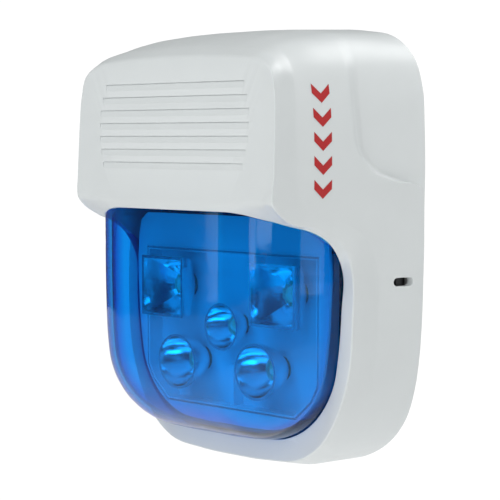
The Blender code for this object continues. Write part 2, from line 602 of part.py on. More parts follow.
# tone selector, on the rear side of the board where the installer reaches it
RB = BOARD_D - 0.3
sel = box("tone_selector_body", (14.0, 26.0), (RB - 4.6, RB), (20.0, 26.4))
boolean(sel, box("c", (16.0, 24.0), (RB - 6.0, RB - 2.2), (21.7, 24.7)))
finish(cleaned(sel), M_BLACK)
knob = box("tone_selector_knob", (16.3, 18.9), (RB - 6.2, RB - 2.5), (22.0, 24.4))
finish(knob, M_WHITE)
# volume trimmer
tb = box("volume_trimmer_body", (-27.5, -18.5), (RB - 4.4, RB), (18.5, 27.5))
boolean(tb, cylinder("c", (-23.0, 23.0), 3.3, RB - 6, RB - 1.8, 20))
finish(cleaned(tb), M_TERM)
rot = turned("volume_trimmer_rotor", [(0, RB - 4.9), (2.6, RB - 4.9), (2.95, RB - 4.5), (2.95, RB - 2.1), (0, RB - 2.1)], "D", (-23.0, 0, 23.0), 20)
boolean(rot, box("c", (-24.9, -21.1), (RB - 6, RB - 4.0), (22.6, 23.4)))
set_origin(finish(cleaned(rot), M_WHITE, 30), (-0.023, -(RB - 3.5) * MM, 0.023))
# tamper switch: a plunger that the wall plate holds in
TX, TZ = 0.0, -24.0
tam = box("tamper_switch_body", (TX - 5, TX + 5), (RB - 8.0, RB), (TZ - 4, TZ + 4))
boolean(tam, cylinder("c", (TX, TZ), 2.0, RB - 12, RB - 2.0, 16))
finish(cleaned(tam), M_BLACK)
plunger = turned("tamper_plunger", [(0, 2.75), (1.0, 2.75), (1.7, 3.5), (1.7, RB - 4.6), (0, RB - 4.6)], "D", (TX, 0, TZ), 14)
set_origin(finish(plunger, M_WHITE, 30), (TX * MM, -2.75 * MM, TZ * MM))

# plug-in header on the board, meeting the terminal block on the plate
header = box("contact_header", (-16.0, 16.0), (RB - 5.0, RB), (-52.0, -44.0))
for k in range(4):
    x = -12.0 + 8.0 * k
    boolean(header, turned("p", [(0, RB - 8.9), (0.5, RB - 8.9), (0.8, RB - 8.3), (0.8, RB - 4.0), (0, RB - 4.0)], "D", (x, 0, -48.0), 8), "UNION")
finish(cleaned(header, 0.05), M_BRASS, 30)

# sounder leads, from the board to the frame's rear rim
for name, x, mat in (("sounder_lead_a", 9.0, M_LEAD_R), ("sounder_lead_b", -9.0, M_LEAD_B)):
    cu = bpy.data.curves.new(name, "CURVE")
    cu.dimensions = "3D"
    cu.bevel_depth = 0.6 * MM
    cu.bevel_resolution = 1
    cu.resolution_u = 5
    cu.use_fill_caps = True
    sp = cu.splines.new("BEZIER")
    pts = [(x, FB + 0.2, 21.0), (x * 1.15, 30.0, 19.0), (x * 1.25, 42.0, 22.4)]
    sp.bezier_points.add(len(pts) - 1)
    for b, p in zip(sp.bezier_points, pts):
        b.co = to_world(p)
        b.handle_left_type = b.handle_right_type = "AUTO"
    tmp = bpy.data.objects.new("t", cu)
    bpy.context.scene.collection.objects.link(tmp)
    bpy.context.view_layer.update()
    me = bpy.data.meshes.new_from_object(tmp.evaluated_get(bpy.context.evaluated_depsgraph_get()))
    bpy.data.objects.remove(tmp, do_unlink=True)
    obj = bpy.data.objects.new(name, me)
    bpy.context.scene.collection.objects.link(obj)
    bm = bmesh.new()
    bm.from_mesh(me)
    bmesh.ops.remove_doubles(bm, verts=bm.verts, dist=1e-6)
    bmesh.ops.recalc_face_normals(bm, faces=bm.faces)
    bm.to_mesh(me)
    bm.free()
    finish(obj, mat, 50)

# ---------------------------------------------------------------- wall plate with everything that stays on the wall
plate_ring = curve([(x, 0, z) for x, _, z in RIM], 1)
plate_ring = plate_ring + plan_normals(plate_ring) * (WALL + 0.9)
outline = [(p[0], p[2]) for p in plate_ring]
plate = extruded("wall_plate", outline, 0.0, 2.4)
# guides for the two latches: rails above and below, and a spring stop
for side in (1, -1):
    for z0, z1 in ((SLOT_Z + 4.4, SLOT_Z + 6.4), (SLOT_Z - 6.4, SLOT_Z - 4.4)):
        boolean(plate, box("g", tuple(sorted((side * 40.0, side * 54.0))), (1.5, 12.0), (z0, z1)), "UNION")
    boolean(plate, box("g", tuple(sorted((side * 33.0, side * 35.0))), (1.5, 11.0), (SLOT_Z - 6.4, SLOT_Z + 6.4)), "UNION")
# cable entry, off centre above the middle, and four screw slots
CABLE = (0.0, 22.0, 9.0)
boolean(plate, cylinder("c", (CABLE[0], CABLE[1]), CABLE[2], -3, 6, 28))
for x, z in ((-30.0, 50.0), (30.0, 50.0), (-30.0, -50.0), (30.0, -50.0)):
    boolean(plate, extruded("c", rounded_rect(x - 4.25, x + 4.25, z - 2.25, z + 2.25, 2.25, 5), -3, 6))
finish(cleaned(plate, 0.05), M_PLATE, 30)

term = box("terminal_block", (-17.5, 17.5), (2.4 + 0.3, RB - 5.0 - 0.5), (-55.5, -42.5))
for k in range(4):
    x = -12.0 + 8.0 * k
    boolean(term, cylinder("c", (x, -48.0), 1.2, RB - 10.5, RB, 12))
    boolean(term, cylinder("c", (x, -52.6), 2.0, 7.0, RB, 12))
    boolean(term, box("c", (x - 1.6, x + 1.6), (3.8, 6.6), (-57.0, -51.0)))
finish(cleaned(term, 0.05), M_TERM, 30)
for k in range(4):
    x = -12.0 + 8.0 * k
    s = turned("terminal_screw_%d" % (k + 1), [(0, 7.3), (1.65, 7.3), (1.65, 9.6), (0, 9.6)], "D", (x, 0, -52.6), 12)
    boolean(s, box("c", (x - 2.0, x + 2.0), (9.0, 11.0), (-52.9, -52.3)))
    finish(cleaned(s), M_STEEL, 30)

# sprung latches behind the side slots
for side, word in ((1, "right"), (-1, "left")):
    body = box("latch_" + word, tuple(sorted((side * 44.0, side * 55.8))), (2.4 + 0.4, 10.6), (SLOT_Z - 4.0, SLOT_Z + 4.0))
    nose = box("n", tuple(sorted((side * 55.0, side * 56.9))), (5.2, 8.6), (SLOT_Z - 3.2, SLOT_Z + 3.2))
    boolean(body, nose, "UNION")
    boolean(body, turned("c", [(0, 40.0), (2.6, 40.0), (2.6, 48.5), (0, 48.5)] if side > 0 else [(0, -48.5), (2.6, -48.5), (2.6, -40.0), (0, -40.0)], "X", (0, 6.8, SLOT_Z), 14))
    finish(cleaned(body), M_LATCH, 30)
    # compression spring between the stop and the latch
    turns, wire, coil_r = 5, 0.35, 1.9
    x0, x1 = 35.6, 48.0
    pts = []
    seg = 14
    total = turns * seg
    for s in range(total + 1):
        a = 2 * math.pi * s / seg
        u = s / total
        pts.append((side * (x0 + (x1 - x0) * u), 6.8 + coil_r * math.cos(a), SLOT_Z + coil_r * math.sin(a)))
    verts, faces = [], []
    for s, p in enumerate(pts):
        q = pts[min(s + 1, total)]
        o = pts[max(s - 1, 0)]
        t = Vector((q[0] - o[0], q[1] - o[1], q[2] - o[2])).normalized()
        up = Vector((side, 0, 0))
        a1 = t.cross(up).normalized()
        a2 = t.cross(a1).normalized()
        for k in range(4):
            b = math.pi / 2 * k
            o3 = Vector(p) + a1 * (wire * math.cos(b)) + a2 * (wire * math.sin(b))
            verts.append(to_world((o3[0], o3[1], o3[2])))
    for s in range(total):
        for k in range(4):
            faces.append((s * 4 + k, s * 4 + (k + 1) % 4, (s + 1) * 4 + (k + 1) % 4, (s + 1) * 4 + k))
    faces.append((0, 1, 2, 3))
    faces.append(tuple(total * 4 + k for k in range(4)))
    finish(mesh_object("latch_spring_" + word, verts, faces), M_STEEL, 60)

# ---------------------------------------------------------------- five plain red chevrons down the hood's right flank
for k, zc in enumerate((51.8, 43.9, 36.0, 28.1, 20.2)):
    half_w, half_h, arm = 3.2, 3.1, 2.7
    shape = [(-half_w, half_h), (0.0, half_h - (2 * half_h - arm)), (half_w, half_h), (half_w, half_h - arm), (0.0, -half_h), (-half_w, half_h - arm)]
    base = []
    dc = 41.2
    for w, h in shape:
        z = zc + h
        d = dc - w
        # the flank between the foot and the rim at this height
        zi = [p[2] for p in FOOT[5:11]]
        qx = np.interp(-z, [-v for v in zi], [p[0] for p in FOOT[5:11]])
        qd = np.interp(-z, [-v for v in zi], [p[1] for p in FOOT[5:11]])
        rx = np.interp(-z, [-p[2] for p in RIM[5:11]], [p[0] for p in RIM[5:11]])
        x = rx + (qx - rx) * d / qd
        base.append((x, d, z))
    n = len(base)
    lift0, lift1 = 0.32, 0.52
    out = []
    for lift in (lift0, lift1):
        for x, d, z in base:
            out.append(to_world((x + lift * 0.97, d + lift * 0.24, z)))
    faces = [tuple(range(n)), tuple(range(n, 2 * n))] + [(i, (i + 1) % n, n + (i + 1) % n, n + i) for i in range(n)]
    finish(mesh_object("flank_mark_%d" % (k + 1), out, faces), M_RED)
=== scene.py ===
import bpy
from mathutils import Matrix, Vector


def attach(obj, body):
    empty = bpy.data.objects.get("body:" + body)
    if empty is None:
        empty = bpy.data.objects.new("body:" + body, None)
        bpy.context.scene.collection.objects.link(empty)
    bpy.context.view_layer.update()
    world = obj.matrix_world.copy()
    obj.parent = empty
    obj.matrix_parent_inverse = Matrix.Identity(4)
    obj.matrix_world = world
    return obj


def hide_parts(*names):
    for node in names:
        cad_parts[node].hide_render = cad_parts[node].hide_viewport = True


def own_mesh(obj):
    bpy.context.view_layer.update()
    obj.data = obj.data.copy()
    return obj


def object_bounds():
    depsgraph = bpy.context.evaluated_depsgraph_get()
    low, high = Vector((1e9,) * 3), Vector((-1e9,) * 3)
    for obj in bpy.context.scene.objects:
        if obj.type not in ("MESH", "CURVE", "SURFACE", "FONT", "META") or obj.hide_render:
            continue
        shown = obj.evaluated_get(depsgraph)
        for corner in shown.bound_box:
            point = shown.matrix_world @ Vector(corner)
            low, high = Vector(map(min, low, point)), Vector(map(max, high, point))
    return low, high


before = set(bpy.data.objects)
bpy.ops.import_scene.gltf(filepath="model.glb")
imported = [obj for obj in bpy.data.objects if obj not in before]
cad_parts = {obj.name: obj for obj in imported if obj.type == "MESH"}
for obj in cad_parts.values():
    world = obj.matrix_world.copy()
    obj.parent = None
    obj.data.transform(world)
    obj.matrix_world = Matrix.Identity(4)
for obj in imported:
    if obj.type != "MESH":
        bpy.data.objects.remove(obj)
CAD_BOX = [list(map(float, c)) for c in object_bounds()]

import math

import bmesh
import bpy
import numpy as np
from mathutils import Vector
from mathutils.bvhtree import BVHTree

MM = 0.001
LO, HI = np.array(CAD_BOX[0]), np.array(CAD_BOX[1])

# =====================================================================================
# The cover's shape: closed contours at stations round the unit, right half, in mm as
# X, depth from the wall, Z. They are the CAD cover's own stations, sampled finely here.
# =====================================================================================
WALL, GAP = 2.4, 0.35
FRONT_DEPTH, FRONT_LEAN, FRONT_LOW_Z = 62.2, 0.045, 15.5
BEZEL_DEPTH, LENS_DEPTH, LENS_ROUND, LENS_WALL = 31.3, 61.7, 30.0, 2.2
LOUVRE_Z = (54.9, 50.35, 45.8, 41.25, 36.7, 32.15, 27.6)
LOUVRE_HALF = (35.0, 36.5, 37.7, 37.7, 37.7, 36.7, 35.5)
LOUVRE_H = 2.3
SLOT_Z, SLOT_D, SLOT_H = -12.0, (4.5, 12.5), 3.0

RIM = [(0, 0, 76.4), (18, 0, 76.1), (36, 0, 74.9), (48.9, 0, 72.2), (57.3, 0, 65.2), (61.4, 0, 54),
       (62.3, 0, 42.5), (62.6, 0, 34), (62.7, 0, 28), (62.7, 0, 24), (62.6, 0, 20), (62.5, 0, 13),
       (62.5, 0, 6), (62.5, 0, -1), (62.3, 0, -9), (61.8, 0, -25), (60.7, 0, -39), (58.8, 0, -50),
       (54.8, 0, -61.2), (47.6, 0, -70), (36.5, 0, -76.5), (18, 0, -79.2), (0, 0, -79.7)]
FOOT = [(0, 50, 70.6), (17, 50, 70.2), (31.5, 50, 69), (40.6, 50.2, 66.6), (46.4, 50.5, 60.6), (49, 51, 50.5),
        (49.9, 51.5, 42), (50.1, 51.5, 34), (50.2, 51.3, 28), (50.3, 51, 24), (50.5, 49.4, 17.6), (51.4, 44.6, 13),
        (53.6, 35.3, 9.6), (55.9, 25.4, 5.0), (57.4, 19.4, -7), (57.4, 19.0, -25), (56.6, 19.2, -39), (54.6, 19.5, -50),
        (50.6, 20, -60.6), (43.9, 20.8, -70), (34.5, 21.3, -76.2), (17, 21.3, -78.6), (0, 21.3, -79.1)]
FRONT = [(0, None, 65.2), (17, None, 64.9), (31.3, None, 64.2), (40.8, None, 62.9), (46.8, None, 59.4), (49.0, None, 51.5),
         (49.6, None, 42), (49.8, None, 34), (49.9, None, 28), (49.9, None, 24), (49.6, None, 15.9), (49.1, 52.4, 8.7),
         (52.1, 41.0, 6.9), (54.8, 32.8, 2.6), (57.0, 31.3, -8), (57.1, 31.3, -25), (56.1, 31.3, -39), (53.6, 31.3, -49),
         (49, 31.3, -59.5), (42.4, 31.3, -68.3), (33, 31.3, -74.3), (17, 31.3, -76.5), (0, 31.3, -76.9)]
LENS_X = [0, 8, 15, 20, 24.5, 28.5, 31.5, 34.3, 36.8, 39.2, 41.8, 46.5, 50.2, 52.0, 52.4, 52.0, 50.6, 48.3, 43.8, 36.5, 26.5, 13.5, 0]
LENS_Z = [12.4, 12.4, 12.4, 12.4, 12.4, 12.3, 12.0, 11.6, 11.0, 10.4, 9.7, 7.9, 5.9, 2.0, -8, -21, -36.5, -47.4, -55.6, -62.8, -67.6, -68.9, -68.9]
LIP_X = [0, 8, 15, 20, 24.8, 29.2, 33, 36.5, 40, 43.2, 46.2]
EDGE_D = [27, 27, 27, 28, 29, 29.5, 29, 27.5, 22.5, 12.3, 2.2] + [1.6] * 12
EDGE_Z = [1.6, 1.8, 2.0, 1.9, 0.8, 0, -0.3, -1.2, -1.3, -1.6, 0.2] + [0.0] * 12
EDGE_IN = [0, 0, 0, 0.1, 0.7, 1.3, 1.6, 1.7, 1.7, 1.3, 0.1] + [0.0] * 12
CORE_X = [0, 8, 14.5, 18.5, 21, 22.3, 22.3, 22.3, 22.3, 22.3, 22.3, 22.3, 22.3, 22.3, 22.3, 22.3, 22.3, 22.0, 21.7, 21.2, 20, 11, 0]
CORE_Z = [11.4, 11.4, 11.4, 11.3, 11.1, 10.8, 10.4, 9.9, 9.4, 8.9, 8.3, 6.4, 4.2, 0.6, -8, -21, -34.5, -37.3, -38.2, -38.7, -39.1, -39.4, -39.4]


def front_depth(z):
    return FRONT_DEPTH - FRONT_LEAN * (z - FRONT_LOW_Z)


def curve(keys, sub):
    keys = np.array(keys, float)
    n = len(keys)
    mirror = np.array([-1.0, 1, 1])
    ext = np.vstack([keys[1] * mirror, keys, keys[-2] * mirror])
    right = []
    for i in range(n - 1):
        p0, p1, p2, p3 = ext[i], ext[i + 1], ext[i + 2], ext[i + 3]
        d1, d2, d0 = (np.linalg.norm(p2 - p1), np.linalg.norm(p3 - p2), np.linalg.norm(p1 - p0))
        m1 = ((p1 - p0) / d0 * d1 + (p2 - p1) / d1 * d0) / (d0 + d1) * d1
        m2 = ((p2 - p1) / d1 * d2 + (p3 - p2) / d2 * d1) / (d1 + d2) * d1
        for s in range(sub):
            u = s / sub
            right.append((2 * u**3 - 3 * u**2 + 1) * p1 + (u**3 - 2 * u**2 + u) * m1
                         + (-2 * u**3 + 3 * u**2) * p2 + (u**3 - u**2) * m2)
    right.append(keys[-1])
    right = np.array(right)
    return np.vstack([right, right[-2:0:-1] * mirror])


def smooth_ring(ring, times, weight=0.5):
    """Evens out the bends between stations."""
    r = ring.copy()
    for _ in range(times):
        r = r * (1 - weight) + (np.roll(r, 1, 0) + np.roll(r, -1, 0)) * (weight / 2)
    return r


def bulge(g):
    return max(0.0, 1 - min(abs(g), 1.0) ** 2.2) ** (1 / 2.2)


def lens_depth_at(g):
    return BEZEL_DEPTH + (LENS_DEPTH - BEZEL_DEPTH) * bulge(g)


def lens_keys():
    out = []
    for i, (x, z) in enumerate(zip(LENS_X, LENS_Z)):
        out.append((x, BEZEL_DEPTH if i >= 14 else lens_depth_at(max(0.0, (x - 22.3) / 30.15)), z))
    return out


def front_keys():
    return [(x, front_depth(z) if d is None else d, z) for x, d, z in FRONT]


def lip_keys():
    lens, front = lens_keys(), front_keys()
    out = []
    for i in range(23):
        if i <= 10:
            z = 15.5 if i < 9 else 15.4
            out.append((LIP_X[i], front_depth(z) - (0.0 if i < 8 else 0.15), z))
        elif i <= 13:
            a, b = np.array(lens[i]), np.array(front[i])
            out.append(tuple(a + (b - a) * 0.5))
        else:
            a, b = np.array(lens[i]), np.array(front[i])
            step = b - a
            out.append(tuple(a + step * (0.9 / np.linalg.norm(step))))
    return out


def edge_keys(extra_d, extra_in):
    out = []
    for i in range(23):
        r, q = np.array(RIM[i], float), np.array(FOOT[i], float)
        d = EDGE_D[i] - extra_d * min(1.0, EDGE_D[i] / 12.0) * (1.0 if EDGE_IN[i] > 0.05 else 0.25)
        k = d / q[1]
        p = r + (q - r) * k
        p[2] += EDGE_Z[i]
        inward = np.array([-p[0], 0, -(p[2] if abs(p[2]) > 55 else 0)])
        norm = np.linalg.norm(inward)
        if norm > 1e-6:
            p = p + inward / norm * EDGE_IN[i] * extra_in
        out.append(tuple(p))
    return out


def plan_normals(ring):
    t = np.roll(ring, -1, 0) - np.roll(ring, 1, 0)
    n = np.stack([t[:, 2], np.zeros(len(ring)), -t[:, 0]], 1)
    n /= np.linalg.norm(n, axis=1)[:, None]
    if ((ring.mean(0) - ring) * n).sum() < 0:
        n = -n
    return n


def to_world(p):
    return Vector((p[0] * MM, -p[1] * MM, p[2] * MM))


# =====================================================================================
# Mesh helpers
# =====================================================================================
def link(obj):
    bpy.context.scene.collection.objects.link(obj)
    return obj


def mesh_object(name, verts, faces, merge=1e-6):
    mesh = bpy.data.meshes.new(name)
    bm = bmesh.new()
    vs = [bm.verts.new(v) for v in verts]
    for f in faces:
        if len(set(f)) >= 3:
            try:
                bm.faces.new([vs[i] for i in f])
            except ValueError:
                pass
    bmesh.ops.remove_doubles(bm, verts=bm.verts, dist=merge)
    bmesh.ops.recalc_face_normals(bm, faces=bm.faces)
    bm.to_mesh(mesh)
    bm.free()
    return link(bpy.data.objects.new(name, mesh))


def loft(name, rings, close_profile, cap=True):
    n = len(rings[0])
    verts = [to_world(p) for ring in rings for p in ring]
    faces = []
    count = len(rings)
    for r in range(count if close_profile else count - 1):
        a, b = r * n, ((r + 1) % count) * n
        for i in range(n):
            j = (i + 1) % n
            faces.append((a + i, a + j, b + j, b + i))
    if not close_profile and cap:
        faces.append(tuple(range(n)))
        faces.append(tuple(range((count - 1) * n, count * n)))
    return mesh_object(name, verts, faces)


def apply_modifiers(obj):
    bpy.context.view_layer.update()
    graph = bpy.context.evaluated_depsgraph_get()
    mesh = bpy.data.meshes.new_from_object(obj.evaluated_get(graph))
    obj.modifiers.clear()
    obj.data = mesh
    return obj


def boolean(obj, other, operation="DIFFERENCE"):
    mod = obj.modifiers.new("b", "BOOLEAN")
    mod.operation, mod.solver, mod.object = operation, "EXACT", other
    apply_modifiers(obj)
    bpy.data.objects.remove(other, do_unlink=True)
    return obj


def shade(obj, mat, sharp=30, weighted=True):
    obj.data.materials.clear()
    obj.data.materials.append(mat)
    obj.data.shade_smooth()
    if sharp is not None:
        obj.data.set_sharp_from_angle(angle=math.radians(sharp))
    if weighted:
        mod = obj.modifiers.new("normals", "WEIGHTED_NORMAL")
        mod.keep_sharp = True
        mod.mode = "FACE_AREA"
        mod.weight = 50
    return obj


def turned(name, profile, centre, steps=64, phase=0.0, radial=None):
    """Turned about the depth axis. radial(angle, r) may change a radius, as for facets."""
    cx, cd, cz = centre
    verts, faces = [], []
    m = len(profile)
    for s in range(steps):
        a = phase + 2 * math.pi * s / steps
        for r, h in profile:
            rr = radial(a, r) if radial else r
            verts.append(to_world((cx + rr * math.cos(a), cd + h, cz + rr * math.sin(a))))
    for s in range(steps):
        t = (s + 1) % steps
        for i in range(m):
            j = (i + 1) % m
            if profile[i][0] == 0 and profile[j][0] == 0:
                continue
            faces.append((s * m + i, s * m + j, t * m + j, t * m + i))
    return mesh_object(name, verts, faces)


def extruded(name, outline, d0, d1):
    n = len(outline)
    verts = [to_world((x, d0, z)) for x, z in outline] + [to_world((x, d1, z)) for x, z in outline]
    faces = [tuple(range(n)), tuple(range(n, 2 * n))]
    faces += [(i, (i + 1) % n, n + (i + 1) % n, n + i) for i in range(n)]
    return mesh_object(name, verts, faces)


def bevelled(obj, width, segments=3, angle=30):
    mod = obj.modifiers.new("bevel", "BEVEL")
    mod.width, mod.segments = width * MM, segments
    mod.limit_method = "ANGLE"
    mod.angle_limit = math.radians(angle)
    return apply_modifiers(obj)


def box_piece(name, x, d, z):
    verts = [to_world((x[i], d[j], z[k])) for i in (0, 1) for j in (0, 1) for k in (0, 1)]
    faces = [(0, 1, 3, 2), (4, 6, 7, 5), (0, 4, 5, 1), (2, 3, 7, 6), (0, 2, 6, 4), (1, 5, 7, 3)]
    return mesh_object(name, verts, faces)


def rounded_rect(x0, x1, z0, z1, r, steps=8):
    out = []
    for cx, cz, a0 in ((x1 - r, z1 - r, 0), (x0 + r, z1 - r, 90), (x0 + r, z0 + r, 180), (x1 - r, z0 + r, 270)):
        for s in range(steps + 1):
            a = math.radians(a0 + 90 * s / steps)
            out.append((cx + r * math.cos(a), cz + r * math.sin(a)))
    return out


# =====================================================================================
# Materials, all from nodes
# =====================================================================================
class Nodes:
    def __init__(self, name):
        self.mat = bpy.data.materials.new(name)
        self.mat.use_nodes = True
        self.tree = self.mat.node_tree
        self.bsdf = self.tree.nodes["Principled BSDF"]
        self.out = self.tree.nodes["Material Output"]
        self.coord = self.tree.nodes.new("ShaderNodeTexCoord")

    def add(self, kind, **values):
        node = self.tree.nodes.new(kind)
        for k, v in values.items():
            setattr(node, k, v)
        return node

    def link(self, a, b):
        self.tree.links.new(a, b)

    def noise(self, scale, detail=3.0, rough=0.5, stretch=None):
        n = self.add("ShaderNodeTexNoise")
        n.inputs["Scale"].default_value = scale
        n.inputs["Detail"].default_value = detail
        n.inputs["Roughness"].default_value = rough
        if stretch:
            m = self.add("ShaderNodeMapping")
            m.inputs["Scale"].default_value = stretch
            self.link(self.coord.outputs["Object"], m.inputs["Vector"])
            self.link(m.outputs["Vector"], n.inputs["Vector"])
        else:
            self.link(self.coord.outputs["Object"], n.inputs["Vector"])
        return n.outputs["Fac"]

    def ramp(self, fac, stops):
        r = self.add("ShaderNodeValToRGB")
        el = r.color_ramp.elements
        while len(el) < len(stops):
            el.new(0.5)
        for e, (p, c) in zip(el, stops):
            e.position = p
            e.color = (*c, 1) if len(c) == 3 else c
        self.link(fac, r.inputs["Fac"])
        return r.outputs["Color"]

    def range(self, fac, lo, hi, a=0.0, b=1.0):
        m = self.add("ShaderNodeMapRange")
        m.inputs["From Min"].default_value = a
        m.inputs["From Max"].default_value = b
        m.inputs["To Min"].default_value = lo
        m.inputs["To Max"].default_value = hi
        self.link(fac, m.inputs["Value"])
        return m.outputs["Result"]

    def bump(self, height, strength, distance=0.0002, after=None):
        b = self.add("ShaderNodeBump")
        b.inputs["Strength"].default_value = strength
        b.inputs["Distance"].default_value = distance
        self.link(height, b.inputs["Height"])
        if after is not None:
            self.link(after, b.inputs["Normal"])
        self.link(b.outputs["Normal"], self.bsdf.inputs["Normal"])
        return b.outputs["Normal"]

    def set(self, **values):
        for k, v in values.items():
            self.bsdf.inputs[k.replace("_", " ")].default_value = v
        return self


def plastic(name, colour, rough, grain=1.0, spread=0.04, vary=0.008):
    """Moulded plastic: fine spark-eroded grain, faint flow marks, and a painted highlight that lightens the colour on
    sharp convex edges.
    """
    n = Nodes(name)
    big = n.noise(60, 4, 0.6)
    fine = n.noise(5200, 2, 0.6)
    mid = n.noise(900, 3, 0.5)
    lo = tuple(c * (1 - vary) for c in colour)
    hi = tuple(min(1, c * (1 + vary)) for c in colour)
    base = n.ramp(big, [(0.35, lo), (0.65, hi)])
    geo = n.add("ShaderNodeNewGeometry")
    # painted highlight: the colour is lightened towards sharp convex edges, picked out by pointiness
    edge = n.range(geo.outputs["Pointiness"], 0, 1, 0.51, 0.58)
    mix = n.add("ShaderNodeMix", data_type="RGBA")
    mix.inputs["B"].default_value = (*[min(1, c * 1.05 + 0.01) for c in colour], 1)
    n.link(edge, mix.inputs["Factor"])
    n.link(base, mix.inputs["A"])
    n.link(mix.outputs["Result"], n.bsdf.inputs["Base Color"])
    n.link(n.range(mid, rough - spread, rough + spread, 0.3, 0.7), n.bsdf.inputs["Roughness"])
    first = n.bump(fine, 0.16 * grain, 0.00004)
    n.bump(mid, 0.06 * grain, 0.00008, first)
    n.set(IOR=1.48)
    return n.mat


def metal(name, colour, rough, brushed=(1, 1, 1), bump=0.1):
    n = Nodes(name)
    n.set(Metallic=1.0)
    s = n.noise(800, 4, 0.6, brushed)
    base = n.ramp(n.noise(120, 3), [(0.3, tuple(c * 0.88 for c in colour)), (0.7, colour)])
    n.link(base, n.bsdf.inputs["Base Color"])
    n.link(n.range(s, rough * 0.7, rough * 1.4, 0.3, 0.7), n.bsdf.inputs["Roughness"])
    n.bump(s, bump, 0.00005)
    return n.mat


def chrome():
    """Vacuum-metallised plastic: bright, with the slight waviness of the moulding under it."""
    n = Nodes("mat_chrome")
    n.set(Metallic=1.0)
    wave = n.noise(160, 2, 0.5)
    spots = n.noise(2400, 2, 0.6)
    base = n.ramp(wave, [(0.3, (0.82, 0.84, 0.87)), (0.7, (0.93, 0.94, 0.95))])
    n.link(base, n.bsdf.inputs["Base Color"])
    n.link(n.range(spots, 0.12, 0.22, 0.35, 0.7), n.bsdf.inputs["Roughness"])
    n.bump(wave, 0.25, 0.0006)
    return n.mat


def lens_material():
    """Clear tinted polycarbonate: tints what is behind it, with a polished skin and faint moulding waves."""
    n = Nodes("mat_lens_blue")
    tree = n.tree
    tree.nodes.remove(n.bsdf)
    clear = n.add("ShaderNodeBsdfTransparent")
    wave = n.noise(45, 2, 0.5)
    tint = n.ramp(wave, [(0.3, (0.10, 0.735, 0.99)), (0.7, (0.115, 0.75, 0.995))])
    slant = n.add("ShaderNodeLayerWeight")
    slant.inputs["Blend"].default_value = 0.5
    deep = n.add("ShaderNodeMix", data_type="RGBA")
    deep.inputs["B"].default_value = (0.015, 0.17, 0.72, 1)
    n.link(n.range(slant.outputs["Facing"], 0, 1, 0.45, 0.92), deep.inputs["Factor"])
    n.link(tint, deep.inputs["A"])
    n.link(deep.outputs["Result"], clear.inputs["Color"])
    gloss = n.add("ShaderNodeBsdfGlossy")
    gloss.inputs["Color"].default_value = (0.92, 0.96, 1.0, 1)
    n.link(n.range(n.noise(700, 3), 0.02, 0.06, 0.3, 0.7), gloss.inputs["Roughness"])
    body = n.add("ShaderNodeBsdfDiffuse")
    body.inputs["Color"].default_value = (0.0, 0.06, 0.42, 1)
    facing = n.add("ShaderNodeLayerWeight")
    facing.inputs["Blend"].default_value = 0.5
    power = n.add("ShaderNodeMath", operation="POWER")
    power.inputs[1].default_value = 4.0
    n.link(facing.outputs["Facing"], power.inputs[0])
    fres = n.add("ShaderNodeMapRange")
    fres.inputs["To Min"].default_value = 0.026
    fres.inputs["To Max"].default_value = 0.85
    n.link(power.outputs["Value"], fres.inputs["Value"])
    b = n.add("ShaderNodeBump")
    b.inputs["Strength"].default_value = 0.12
    b.inputs["Distance"].default_value = 0.0004
    n.link(wave, b.inputs["Height"])
    n.link(b.outputs["Normal"], gloss.inputs["Normal"])
    n.link(b.outputs["Normal"], facing.inputs["Normal"])
    milk = n.add("ShaderNodeMixShader")
    milk.inputs["Fac"].default_value = 0.05
    n.link(clear.outputs["BSDF"], milk.inputs[1])
    n.link(body.outputs["BSDF"], milk.inputs[2])
    mix = n.add("ShaderNodeMixShader")
    n.link(fres.outputs["Result"], mix.inputs["Fac"])
    n.link(milk.outputs["Shader"], mix.inputs[1])
    n.link(gloss.outputs["BSDF"], mix.inputs[2])
    n.link(mix.outputs["Shader"], n.out.inputs["Surface"])
    return n.mat


def board_material():
    n = Nodes("mat_board")
    cell = n.add("ShaderNodeTexVoronoi", feature="DISTANCE_TO_EDGE")
    cell.inputs["Scale"].default_value = 240
    n.link(n.coord.outputs["Object"], cell.inputs["Vector"])
    base = n.ramp(cell.outputs["Distance"], [(0.06, (0.03, 0.24, 0.09)), (0.14, (0.012, 0.11, 0.045))])
    n.link(base, n.bsdf.inputs["Base Color"])
    n.link(n.range(n.noise(500), 0.25, 0.45), n.bsdf.inputs["Roughness"])
    n.bump(cell.outputs["Distance"], 0.15, 0.0001)
    return n.mat


def cloth_material():
    n = Nodes("mat_screen")
    w1 = n.add("ShaderNodeTexWave", bands_direction="X")
    w2 = n.add("ShaderNodeTexWave", bands_direction="Z")
    for w in (w1, w2):
        w.inputs["Scale"].default_value = 900
        n.link(n.coord.outputs["Object"], w.inputs["Vector"])
    m = n.add("ShaderNodeMath", operation="MULTIPLY")
    n.link(w1.outputs["Fac"], m.inputs[0])
    n.link(w2.outputs["Fac"], m.inputs[1])
    n.link(n.ramp(m.outputs["Value"], [(0.1, (0.012, 0.012, 0.013)), (0.8, (0.06, 0.06, 0.065))]), n.bsdf.inputs["Base Color"])
    n.link(n.range(m.outputs["Value"], 0.95, 0.75), n.bsdf.inputs["Roughness"])
    n.bump(m.outputs["Value"], 0.6, 0.0002)
    return n.mat


def mark_material():
    """Printed film: dense red ink with a very slight orange peel."""
    n = Nodes("mat_mark_red")
    ink = n.noise(1500, 3, 0.6)
    n.link(n.ramp(ink, [(0.3, (0.37, 0.002, 0.003)), (0.7, (0.44, 0.003, 0.005))]), n.bsdf.inputs["Base Color"])
    n.link(n.range(ink, 0.34, 0.46), n.bsdf.inputs["Roughness"])
    n.bump(ink, 0.08, 0.00003)
    return n.mat


